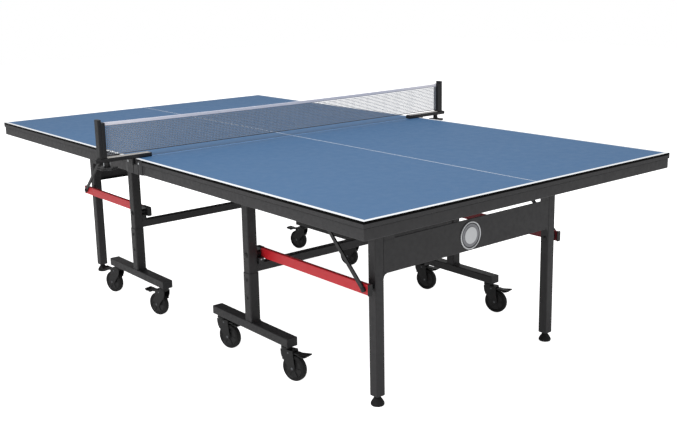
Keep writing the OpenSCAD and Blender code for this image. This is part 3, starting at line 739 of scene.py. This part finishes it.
def make_medallion(half, sign):
    """Round plate: a raised rim, a black groove, a grey ring with a fine step, and a raised plain centre."""
    low, high = box("near_medallion")
    radius, rise = (high[Z] - low[Z]) / 2, high[X] - low[X]
    middle = (low + high) / 2
    centre = np.array([sign * low[X], MEDALLION_ASIDE, middle[Z]])
    groove_in, centre_out = radius - 9, radius * 0.6
    sunk, step = rise - 1.2, rise - 0.9
    profile = [(radius - 0.6, 0), (radius, 0.6), (radius, rise - 0.8), (radius - 1, rise),
               (radius - 4.6, rise), (radius - 5.4, sunk), (groove_in, sunk), (radius * 0.66, sunk),
               (radius * 0.655, step), (radius * 0.62, step), (centre_out, rise - 0.1),
               (radius * 0.57, rise), (0.5, rise)]
    part = lathe([(r, sign * h) for r, h in profile], centre, X, 96)
    light = spun_disc(f"spun aluminium {half}", "d4d6d8", centre)
    grey = spun_disc(f"dark anodised ring {half}", "8a8b8f", centre)
    black = spun_disc(f"black lacquered groove {half}", "303134", centre)

    def ring(face_centre, normal):
        away = np.hypot(face_centre[:, 1] - centre[1], face_centre[:, 2] - centre[2])
        return np.select([away > radius - 5.2, away > groove_in, away > centre_out], [0, 2, 1], 0)

    piece(f"medallion_{half}", part, [light, grey, black], f"{half}_legs", [f"{half}_medallion"],
          ring)


def make_levelling_foot(half, side):
    """Bell-shaped foot: a flared rubber skirt, a waisted neck and a plated stem."""
    name = f"levelling_foot_{half}_{side}"
    low, high = box(name)
    x, y, _ = (low + high) / 2
    radius = (high[X] - low[X]) / 2
    neck = 0.44 * radius
    plug = box("near_end_legs")[0][Z]
    bell = lathe([(radius - 5, 0), (radius - 1.5, 1.2), (radius, 4), (radius, 8), (radius - 1, 11),
                  (radius * 0.8, 18), (radius * 0.6, 25), (neck + 0.6, 29), (neck, 31), (neck, plug - 3.2)],
                 (x, y, 0), Z)
    piece(name + "_bell", bell, [RUBBER], name, [name])
    stem = lathe([(6, plug - 4), (6, high[Z])], (x, y, 0), Z, 24)
    piece(name + "_stem", stem, [ZINC], name)


# ---- Folding links ----

def make_links(half, sign):
    """Red bars with moulded end fittings, their pivot bolts, and the flat diagonal braces with their rollers.

    The bars' faces towards the middle of the table carry a darker red: painted shade of the board above them."""
    post, z = PIVOTS["near_bar_swing"][[X, Z]]
    post_y = post_centre()[1]
    leg, leg_y = leg_centre()
    low, high = box("near_link_bars")
    inner, end = (corner[X] for corner in box("near_bar_fittings"))
    y_out = high[Y]
    y_in = y_out - BAR_T
    body = f"{half}_bars"
    rod = bar((low[X], y_in, low[Z]), (end - PLUG_T, y_out, high[Z]), X, 3)

    # Faces turned towards the middle of the table take the red with painted shade.
    def faces_inwards(face_centre, normal):
        return (normal[:, 1] * np.sign(face_centre[:, 1]) < -0.7).astype(int)

    piece(f"link_bars_{half}", pair(rod, sign), [RED, RED_PAINTED_SHADE], body, [f"{half}_link_bars"],
          faces_inwards)
    wall = FITTING_WALL
    caps = [bar((start, y_in - wall, low[Z] - wall), (stop, y_out + wall, high[Z] + wall), X, 3.5, 1.2)
            for start, stop in ((inner, post + FITTING_IN[half]), (end - PLUG_T, end))]
    spacers = [lathe([(radius, start), (radius, stop)], (x, 0, z), Y, 32) for x, radius, start, stop in (
        (post, 10, y_out + wall, post_y - POST_W / 2 - PLAY),
        (leg, 10, leg_y + LEG_W / 2 + PLAY, y_in + PLAY),
        (leg, 9, y_out - PLAY, y_out + wall + 0.4))]
    piece(f"bar_fittings_{half}", pair(join(*caps, *spacers), sign), [PLASTIC], body,
          [f"{half}_bar_fittings"])
    brace_in = y_out + wall + PLAY
    brace_out = brace_in + BRACE_T
    bolts = [bolt((post, post_y + POST_W / 2 + PLAY, z), Y, 10.5, 5),
             bolt((leg, brace_out + PLAY, z), Y, 9.5, 4),
             bolt((leg, leg_y - LEG_W / 2 - PLAY, z), Y, 9.5, 4, -1)]
    piece(f"pivot_bolts_{half}", pair(join(*bolts), sign), [BRACKET_BLACK], body)
    brace_low, brace_high = box("near_lock_braces")
    head = (brace_low[X] + BRACE_W / 2 - 1, brace_high[Z] - ROLLER_R)
    strip = link_outline((leg, z), head, BRACE_W / 2 + 2, BRACE_W / 2 - 1)
    roller_end = brace_high[Y]
    roller = [(ROLLER_R - 1, roller_end - ROLLER_L), (ROLLER_R, roller_end - ROLLER_L + 1),
              (ROLLER_R, roller_end - 1), (ROLLER_R - 1, roller_end)]
    brace = join(extrude(strip, brace_in, brace_out, Y, 1.2), lathe(roller, (head[0], 0, head[1]), Y, 24))
    piece(f"lock_braces_{half}", pair(brace, sign), [BRACKET_BLACK], f"{half}_braces",
          [f"{half}_lock_braces"])


# ---- Casters, drawn about the stem with the wheel trailing towards +X ----

def caster_fork(trail, bar_z):
    """Hooded fork: two cheeks, a crown, a swivel head and a curved hood in front of the wheel."""
    crown = PIVOTS["caster_brake_near_right_outer"][Z] + CROWN_OVER
    cheek = rounded_polygon([(-HEAD_R + 4, crown + 5), (trail + 4, crown + 5), (trail + 6, crown - 12),
                             (trail + 13, WHEEL_R), (trail + 4, WHEEL_R - 12), (trail - 11, WHEEL_R - 8),
                             (-15, crown - 22)], [3, 3, 8, 9, 7, 9, 12])
    sides = join(*(extrude(cheek, y, y + CHEEK_T, Y, 0.9) for y in (-CHEEK_IN - CHEEK_T, CHEEK_IN)))
    roof = bar((-HEAD_R + 5, -CHEEK_IN - 1, crown), (trail + 4, CHEEK_IN + 1, crown + 5), Z, 3, 1)
    head = lathe([(HEAD_R - 5, crown + 3), (HEAD_R - 1, crown + 5), (HEAD_R, crown + 7), (HEAD_R, bar_z - 5),
                  (HEAD_R - 1, bar_z - 4), (HEAD_R - 2, bar_z - 3.5), (HEAD_R - 2, bar_z - 0.5)],
                 (0, 0, 0), Z)
    turn = np.radians(np.linspace(*HOOD_ARC, 9))
    arc = round_at(turn)
    inner, outer = (np.array([trail, WHEEL_R]) + radius * arc for radius in HOOD_R)
    hood = extrude(np.concatenate([inner, outer[::-1]]), -CHEEK_IN - 1, CHEEK_IN + 1, Y, 0.3)
    return join(sides, roof, head, hood)


def caster_axle(trail, pedal):
    """Plated axle ends and the pedal's rivet."""
    y = CHEEK_IN + CHEEK_T
    parts = []
    for facing in (-1, 1):
        parts.append(bolt((trail, facing * y, WHEEL_R), Y, 5, 2.4, facing))
        parts.append(bolt((pedal[X], facing * y, pedal[Z]), Y, 3.4, 1, facing))
    return join(*parts)


def caster_wheel(trail):
    """Wheel: a rubber tread with round shoulders and a groove, on a dished hub with six ribs a side."""
    w, r = WHEEL_W / 2, WHEEL_R
    side = [(8, w), (14, w), (15, w - 3), (18, w - 4), (r - 15, w - 4), (r - 13, w - 1.5), (r - 11, w - 0.6),
            (r - 10, w - 1.4), (r - 9, w - 0.6), (r - 5, w - 0.8), (r - 2.2, w - 2.6), (r - 0.6, w - 6),
            (r, w - 10)]
    profile = side + [(rad, -h) for rad, h in side[::-1]]
    wheel = lathe(profile, (trail, 0, r), Y, 72)
    rib = bar((14, w - 5, -1.3), (r - 14, w - 1.6, 1.3), X, 1, 0.4)
    x, y, z = rib[0].T
    ribs = []
    for turn in np.arange(6) * math.pi / 3:
        cos, sin = math.cos(turn), math.sin(turn)
        spoke = np.stack([x * cos - z * sin, y, x * sin + z * cos], axis=1)
        ribs += [(spoke + (trail, 0, r), rib[1]), (spoke * (1, -1, 1) + (trail, 0, r), rib[1])]
    return join(wheel, *ribs)


def caster_pedal(place, top):
    """Brake pedal about its pivot at place: a lever over the wheel with a wide, ribbed, upturned tread."""
    tip = PEDAL_L
    w, wide = WHEEL_W / 2 + 0.5, PEDAL_W / 2
    over, waist, dip = 0.36 * tip, 0.54 * tip, 0.71 * tip
    lever = rounded_polygon([(-5, -4.5), (over, -2), (waist, -4.6), (dip, -11.5), (tip - 9, -5.5),
                             (tip - 8, -1), (over, 3), (-5, 4.6)], [4, 6, 6, 5, 2, 2, 8, 4])
    tread = rounded_polygon([(waist, -3.6), (tip - 10, -5.6), (tip - 0.3, -1),
                             (tip - 0.3, top - place[Z] - 0.2), (tip - 10, -1.8), (waist, 0.2)],
                            [1, 3, 1, 0.8, 4, 1])
    ribs = [bar((tip - 14 - 7 * k, -wide + 3, -2.4), (tip - 11.5 - 7 * k, wide - 3, -0.8 + 0.5 * k),
                Y, 0.8, 0.4) for k in range(4)]
    return moved(join(extrude(lever, -w, w, Y, 1.2), extrude(tread, -wide, wide, Y, 0.8), *ribs), place)


def swivelled(part, heading, place):
    """The part turned about the caster's stem by the heading and carried to its place."""
    cos, sin = math.cos(heading), math.sin(heading)
    return part[0] @ np.array([[cos, sin, 0], [-sin, cos, 0], [0, 0, 1]]) + place, part[1]


def tread_faces(heading, axle):
    """Picks rubber from the tread's inner ring outwards, nylon inside it, for a wheel about that axle."""
    def pick(centre, normal):
        along = (centre[:, 0] - axle[X]) * math.cos(heading) + (centre[:, 1] - axle[Y]) * math.sin(heading)
        return (np.hypot(along, centre[:, 2] - axle[Z]) > WHEEL_R - 12.5).astype(int)
    return pick


def make_casters():
    """One caster set eight times, at the frame's swivels and turned as its wheels trail there."""
    swivel, axle, brake = (PIVOTS[f"caster_{kind}_near_right_outer"] for kind in ("swivel", "roll", "brake"))
    trail = math.hypot(*(axle - swivel)[:2])
    pedal_pivot = (math.hypot(*(brake - swivel)[:2]), 0, brake[Z])
    fork, wheel = caster_fork(trail, swivel[Z]), caster_wheel(trail)
    ends = caster_axle(trail, pedal_pivot)
    pedal = caster_pedal(pedal_pivot, box("caster_pedal_near_right_outer")[1][Z])
    for place in (f"{half}_{side}_{end}" for half, _ in HALVES for side, _ in SIDES for end in ENDS):
        stem, axle = PIVOTS[f"caster_swivel_{place}"] * (1, 1, 0), PIVOTS[f"caster_roll_{place}"]
        heading = math.atan2(*(axle - stem)[[Y, X]])
        names = [f"caster_{kind}_{place}" for kind in ("fork", "wheel", "pedal")]
        piece(f"fork_{place}", swivelled(fork, heading, stem), [NYLON], names[0], [names[0]])
        piece(f"axle_{place}", swivelled(ends, heading, stem), [DULL_STEEL], names[0])
        piece(f"wheel_{place}", swivelled(wheel, heading, stem), [NYLON, RUBBER], names[1], [names[1]],
              tread_faces(heading, axle))
        piece(f"pedal_{place}", swivelled(pedal, heading, stem), [NYLON], names[2], [names[2]])


# ---- Net ----

def strands(starts, direction, length, sway, first_phase):
    """Four-sided threads that wave over and under: sway sin(pi s / pitch + phase) off the net's plane.

    starts is (threads, 3); the phase alternates from thread to thread."""
    count = int(round(length / (NET_PITCH / 2))) + 1
    s = np.linspace(0, length, count)
    direction = np.array(direction, float)
    phase = (np.arange(len(starts)) + first_phase) * math.pi
    wave = sway * np.sin(math.pi * s[None] / NET_PITCH + math.pi / 2 + phase[:, None])
    line = starts[:, None] + s[None, :, None] * direction + wave[..., None] * np.array([1.0, 0, 0])
    across = np.cross(direction, (1, 0, 0))
    turn = np.arange(4) * math.pi / 2
    section = STRAND / 2 * (np.cos(turn)[:, None] * np.array([1.0, 0, 0]) + np.sin(turn)[:, None] * across)
    rings = line[:, :, None] + section
    return join(*(skin(thread) for thread in rings))


def make_net():
    """Knotless netting between a folded tape at the top, a cord at the bottom and a thin cord at each end.

    The top edge sags by NET_SAG (1 - (y / half its length)^2), and the netting below it in proportion."""
    low, high = box("net")

    def sagging(part):
        points = part[0].copy()
        share = (points[:, 2] - low[Z]) / (high[Z] - low[Z])
        points[:, 2] -= NET_SAG * (1 - (points[:, 1] / high[Y]) ** 2) * share
        return points, part[1]

    tape_low = high[Z] - TAPE_H
    rise = tape_low + 2 - low[Z]
    span = high[Y] - low[Y] - END_CORD_W
    across = np.arange(low[Y] + END_CORD_W, high[Y] - END_CORD_W + 0.1, NET_PITCH)
    up = np.arange(low[Z] + 3, tape_low + 2, NET_PITCH)
    vertical = np.stack([np.zeros(len(across)), across, np.full(len(across), low[Z] + 1)], axis=1)
    level = np.stack([np.zeros(len(up)), np.full(len(up), low[Y] + END_CORD_W / 2), up], axis=1)
    threads = join(strands(vertical, (0, 0, 1), rise, THREAD_SWAY, 0),
                   strands(level, (0, 1, 0), span, THREAD_SWAY, 1))
    netting = piece("netting", sagging(threads), [STRAND_GREY], "net_set", ["net"])
    stations = np.linspace(low[Y], high[Y], 61)
    middle = np.stack([0 * stations, stations, 0 * stations + high[Z] - TAPE_H / 2], axis=1)
    tape = sagging(carried(middle, high[X] - low[X], TAPE_H, 1.4))
    cord = bar((-1.4, low[Y], low[Z]), (1.4, high[Y], low[Z] + 2.8), Y, 1.3, 0.4)
    ends = both_sides(bar((-1.1, high[Y] - END_CORD_W, low[Z] + 1), (1.1, high[Y], tape_low + 1), Z, 1, 0.4))
    tapes = piece("net_tape", tape, [TAPE], "net_set")
    selvedge = piece("net_end_cords", ends, [STRAND_GREY], "net_set")
    line = piece("net_bottom_cord", cord, [DARK_CORD], "net_set")


def make_net_hardware():
    """Posts, clamp arms with their covers, black screw bosses with thin zinc rods beside them, jaws and star
    knobs.

    The black boss and its rods stand for a chrome boss: painted reflection, dark in the middle and bright at
    the edges.
    """
    high = box("net_posts")[1]
    arm_low, arm_high = box("net_clamp_arms")
    net_low, net_high = box("net")
    w = high[X]
    step_y = high[Y] - w
    posts = join(bar((-w, step_y - w, net_low[Z] - 6), (w, step_y + 1, net_high[Z]), Z, 3, 1.2),
                 bar((-w, step_y, arm_high[Z] - 1), (w, high[Y], high[Z]), Z, 3, 1.2))
    piece("posts_of_net", both_sides(posts), [PLASTIC], "net_set", ["net_posts"])
    board = box("near_tabletop")[1]
    arm_z = board[Z] + 0.5
    arm_end = board[Y] - ARM_REACH
    web = board[Y] + WEB_OUT
    arm = join(bar((-w, arm_end, arm_z), (w, arm_high[Y], arm_high[Z]), Y, 4, 1.5),
               bar((-w, web, arm_low[Z]), (w, web + WEB_T, arm_z + 2), Z, 2, 0.8))
    piece("clamp_arms", both_sides(arm), [PLASTIC], "net_set", ["net_clamp_arms"])
    cover = bar((-w + 1, arm_end + 6, arm_high[Z] - 0.5), (w - 1, step_y - w - 2, arm_high[Z] + 1.5),
                Y, 1, 0.5)
    piece("arm_covers", both_sides(cover), [LIGHT_COVER], "net_set")
    boss_y = PIVOTS["clamp_screw_right"][Y]
    knob_low, knob_high = box("clamp_knob_right")
    knob_top = knob_low[Z] + KNOB_H
    # Screw boss in black: painted reflection, the dark middle of a chrome boss.
    boss = lathe([(10.5, knob_top + 0.5), (11, knob_top + 1.5), (11, arm_z)], (0, boss_y, 0), Z, 32)
    piece("screw_bosses", both_sides(boss), [BRACKET_BLACK], "net_set")
    # Thin zinc rods at the boss's edges: painted highlights of its chrome.
    rods = [lathe([(1.6, knob_top + 0.7), (1.8, knob_top + 1), (1.8, arm_z)], (0, boss_y + aside, 0), Z, 16)
            for aside in (-HIGHLIGHT_ROD_ASIDE, HIGHLIGHT_ROD_ASIDE)]
    piece("boss_highlight_rods", both_sides(join(*rods)), [ZINC], "net_set")
    dress("net_clamp_jaws", BRACKET_BLACK)
    turn = np.linspace(0, 2 * math.pi, 96, endpoint=False)
    radius = (knob_high[X] - knob_low[X]) / 2
    lobe = radius - LOBE + LOBE * np.cos(6 * turn)
    outline = lobe[:, None] * round_at(turn)
    star = join(extrude(outline + (0, boss_y), knob_low[Z], knob_top, Z, 3),
                lathe([(5, knob_top - 1), (5, knob_high[Z])], (0, boss_y, 0), Z, 24))
    for side, side_sign in SIDES:
        name = f"clamp_knob_{side}"
        piece(f"star_knob_{side}", moved(star, flip=(1, side_sign, 1)), [PLASTIC], name, [name])


# ---- Stage ----

def make_stage():
    """A white floor that glows as a light table does, under a broad soft key on the table's left and a light
    overhead. Floor and backdrop are white to the camera and dimmer as lights."""
    reach = 14
    floor = bpy.data.meshes.new("floor")
    floor.from_pydata([(-reach, -reach, 0), (reach, -reach, 0), (reach, reach, 0), (-reach, reach, 0)],
                      [], [(0, 1, 2, 3)])
    material, tree, shader, _ = finish("pale studio floor", Roughness=0.9)
    shader.inputs["Base Color"].default_value = (0.8, 0.8, 0.8, 1)
    shader.inputs["Emission Color"].default_value = (1, 1, 1, 1)
    seen = add(tree, "ShaderNodeLightPath").outputs["Is Camera Ray"]
    glow = add(tree, "ShaderNodeMapRange", {"Value": seen, "To Min": 0.25, "To Max": 1.0})
    tree.links.new(glow.outputs["Result"], shader.inputs["Emission Strength"])
    floor.materials.append(material)
    plane = bpy.data.objects.new("floor", floor)
    bpy.context.collection.objects.link(plane)

    world = bpy.data.worlds.new("studio")
    bpy.context.scene.world = world
    world.use_nodes = True
    tree = world.node_tree
    sky = tree.nodes["Background"]
    seen = add(tree, "ShaderNodeLightPath").outputs["Is Camera Ray"]
    level = add(tree, "ShaderNodeMapRange", {"Value": seen, "To Min": 0.5, "To Max": 1.0})
    sky.inputs["Color"].default_value = (1, 1, 1, 1)
    tree.links.new(level.outputs["Result"], sky.inputs["Strength"])

    aim_z = 0.5
    for name, place, watts in (("key", (1.5, -3.7, 4.5), 128), ("overhead", (0.2, 0.1, 4.6), 70)):
        lamp = bpy.data.lights.new(name, "AREA")
        lamp.size = 3.0
        lamp.energy = watts
        made = bpy.data.objects.new(name, lamp)
        bpy.context.collection.objects.link(made)
        made.location = place
        tilt = math.atan2(math.hypot(*place[:2]), place[Z] - aim_z)
        made.rotation_euler = (tilt, 0, math.atan2(place[X], -place[Y]))


def make_camera():
    """A 51 mm lens with a small shift, 1.4 m up off the table's near left corner and rolled by a degree."""
    lens = bpy.data.cameras.new("camera")
    lens.sensor_width = 36.0
    lens.lens = 50.98
    lens.shift_x = -0.0144
    lens.shift_y = -0.0395
    camera = bpy.data.objects.new("camera", lens)
    bpy.context.collection.objects.link(camera)
    heading, tilt, roll = (math.radians(a) for a in (50.57, 77.76, -1.07))
    turn = Matrix.Rotation(heading, 4, "Z") @ Matrix.Rotation(tilt, 4, "X") @ Matrix.Rotation(roll, 4, "Z")
    camera.matrix_world = Matrix.Translation((3.350, -2.444, 1.426)) @ turn
    bpy.context.scene.camera = camera
    bpy.context.scene.view_settings.view_transform = "Standard"


make_camera()
make_stage()
for half, sign in HALVES:
    make_board(half, sign)
    make_apron(half, sign)
    make_roller_frame(half, sign)
    make_end_legs(half, sign)
    make_end_panel(half, sign)
    make_medallion(half, sign)
    make_links(half, sign)
    for side, _ in SIDES:
        make_levelling_foot(half, side)
make_casters()
make_net()
make_net_hardware()
